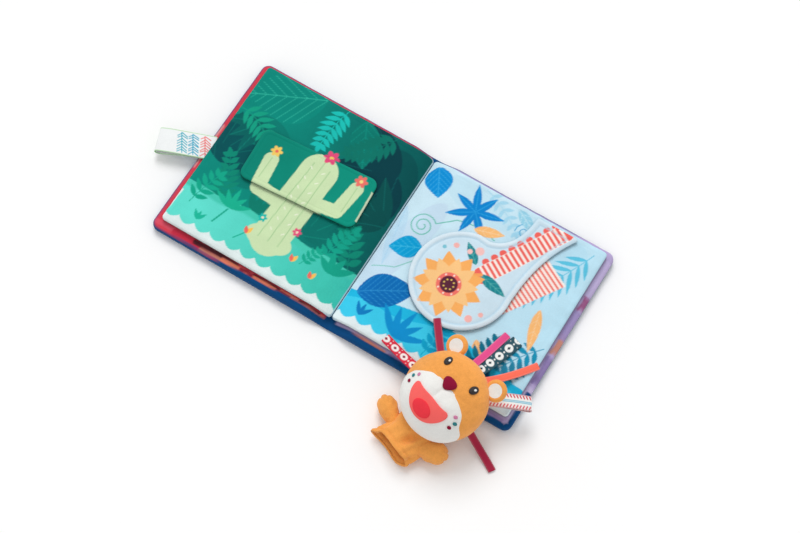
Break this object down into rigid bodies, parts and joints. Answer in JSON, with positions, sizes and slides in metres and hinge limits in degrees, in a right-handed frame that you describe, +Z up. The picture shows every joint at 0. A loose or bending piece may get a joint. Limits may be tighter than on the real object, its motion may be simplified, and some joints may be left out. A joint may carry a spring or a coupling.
{
  "type": "cloth book",
  "caption": "Soft padded cloth book lying open on its back, with lift flaps, a ribbon closing tab and a plush finger puppet with a ribbon mane resting on its page.",
  "frame": {"origin": "on the resting surface, under the middle of the spine strip", "axes": "+X across both pages to the right, +Y away from the reader to the far edge, +Z up"},
  "size_m": [0.45, 0.2839, 0.0746],
  "materials": {
    "navy_cloth": "matte",
    "spine_cloth": "matte",
    "jungle_print": "matte",
    "sky_print": "matte",
    "green_flap_print": "matte",
    "ice_flap_print": "matte",
    "printed_ribbon": "satin",
    "orange_plush": "soft plush",
    "cream_plush": "soft plush",
    "coral_felt": "matte",
    "red_felt": "matte",
    "crimson_felt": "matte",
    "dark_thread": "matte",
    "crimson_ribbon": "satin",
    "pink_ribbon": "satin",
    "teal_ribbon": "satin",
    "coral_ribbon": "satin",
    "red_ribbon": "satin",
    "white_ribbon": "satin"
  },
  "bodies": {
    "right_half": {"spine_strip": "spine_cloth", "right_cover": "navy_cloth", "right_leaf": "sky_print", "right_flap": "ice_flap_print", "puppet_head": "orange_plush", "puppet_muzzle": "cream_plush", "puppet_mouth": "coral_felt", "puppet_tongue": "red_felt", "puppet_nose": "crimson_felt", "puppet_eye_left": "dark_thread", "puppet_eye_right": "dark_thread", "puppet_ear_left": "orange_plush", "puppet_ear_right": "orange_plush", "puppet_sleeve": "orange_plush", "puppet_paw_left": "orange_plush", "puppet_paw_right": "orange_plush", "mane_crimson": "crimson_ribbon", "mane_pink": "pink_ribbon", "mane_teal": "teal_ribbon", "mane_coral": "coral_ribbon", "mane_red": "red_ribbon", "mane_low": "crimson_ribbon", "mane_loop": "white_ribbon"},
    "left_half": {"left_cover": "navy_cloth", "left_leaf": "jungle_print", "left_flap": "green_flap_print", "closing_tab": "printed_ribbon"}
  },
  "joints": [
    {"name": "spine_fold", "type": "hinge", "parent": "right_half", "child": "left_half", "pos_m": [0, 0, 0.0235], "axis": [0, 1, 0], "range_deg": [0, 155]}
  ]
}
